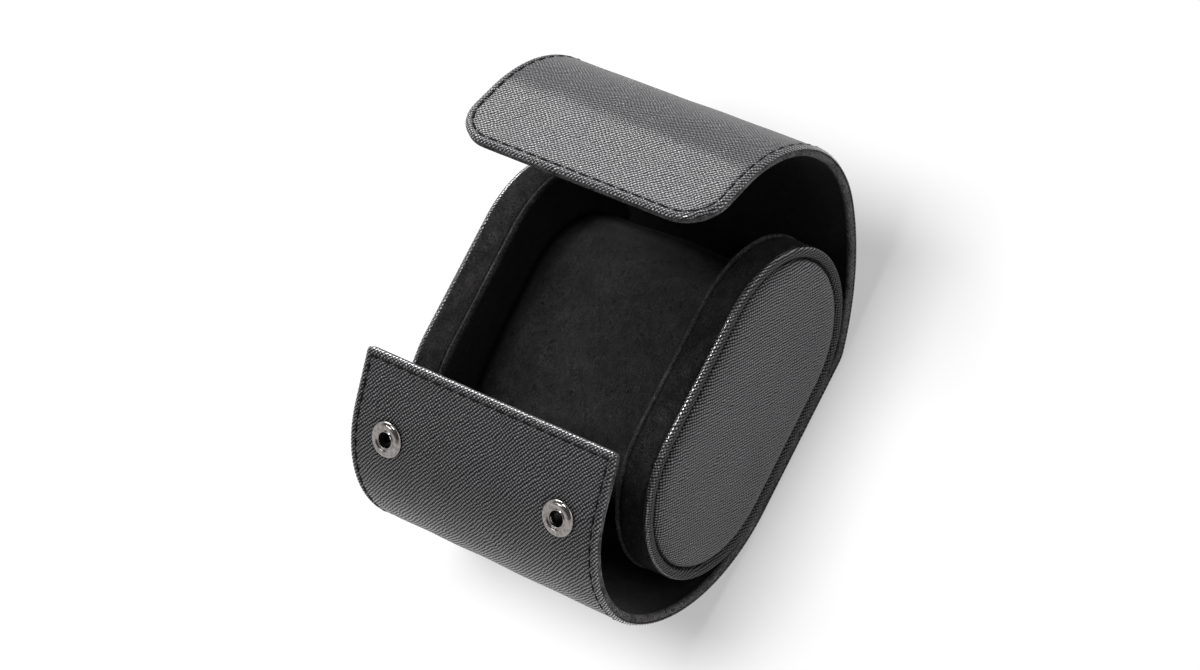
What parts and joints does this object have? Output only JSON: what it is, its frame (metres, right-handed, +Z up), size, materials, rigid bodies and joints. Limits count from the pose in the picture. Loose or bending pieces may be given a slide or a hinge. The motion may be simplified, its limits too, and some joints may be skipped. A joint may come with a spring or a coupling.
{
  "type": "watch travel case",
  "caption": "Oval leather travel case that holds a watch on a cushion between padded end caps and closes with a wrap-over flap and press studs.",
  "frame": {"origin": "on the flat outer face of the back, which the case lies on, straight below the middle of the oval end caps", "axes": "+X to the right across the wrap, +Y along the flat back from the front flap towards the closing flap, +Z up out of the back"},
  "size_m": [0.105, 0.1653, 0.1198],
  "materials": {
    "leather": "cross-grain embossed, satin",
    "suede": "matt microfibre suede",
    "cushion_suede": "matt microfibre suede",
    "board": "stiff fibre board",
    "foam": "closed-cell foam",
    "dark_nickel": "polished dark nickel plate",
    "spring_steel": "drawn spring wire"
  },
  "bodies": {
    "root": {"back_leather": "leather", "back_board": "board", "lower_board": "board", "back_lining": "suede", "upper_leather": "leather", "upper_board": "board", "upper_lining": "suede", "left_cap_core": "board", "left_cap_band": "suede", "left_cap_disc": "suede", "left_cap_pad": "foam", "left_cap_face": "leather", "right_cap_core": "board", "right_cap_band": "suede", "right_cap_disc": "suede", "right_cap_pad": "foam", "right_cap_face": "leather", "cushion_foam": "foam", "cushion_cover": "cushion_suede"},
    "front_flap": {"front_leather": "leather", "front_board": "board", "front_lining": "suede", "snap_sockets": "dark_nickel", "socket_springs": "spring_steel", "socket_eyelets": "dark_nickel"},
    "closing_flap": {"flap_leather": "leather", "flap_board": "board", "flap_lining": "suede", "snap_studs": "dark_nickel", "stud_rivets": "dark_nickel"}
  },
  "joints": [
    {"name": "front_flap_hinge", "type": "hinge", "parent": "root", "child": "front_flap", "pos_m": [0, -0.05324, 0.00881], "axis": [-1, 0, 0], "range_deg": [-25, 21.4]},
    {"name": "closing_flap_hinge", "type": "hinge", "parent": "root", "child": "closing_flap", "pos_m": [0, 0.03658, 0.00032], "axis": [1, 0, 0], "range_deg": [-35, 40.4], "deforming": ["upper_leather", "upper_board", "upper_lining"]}
  ]
}
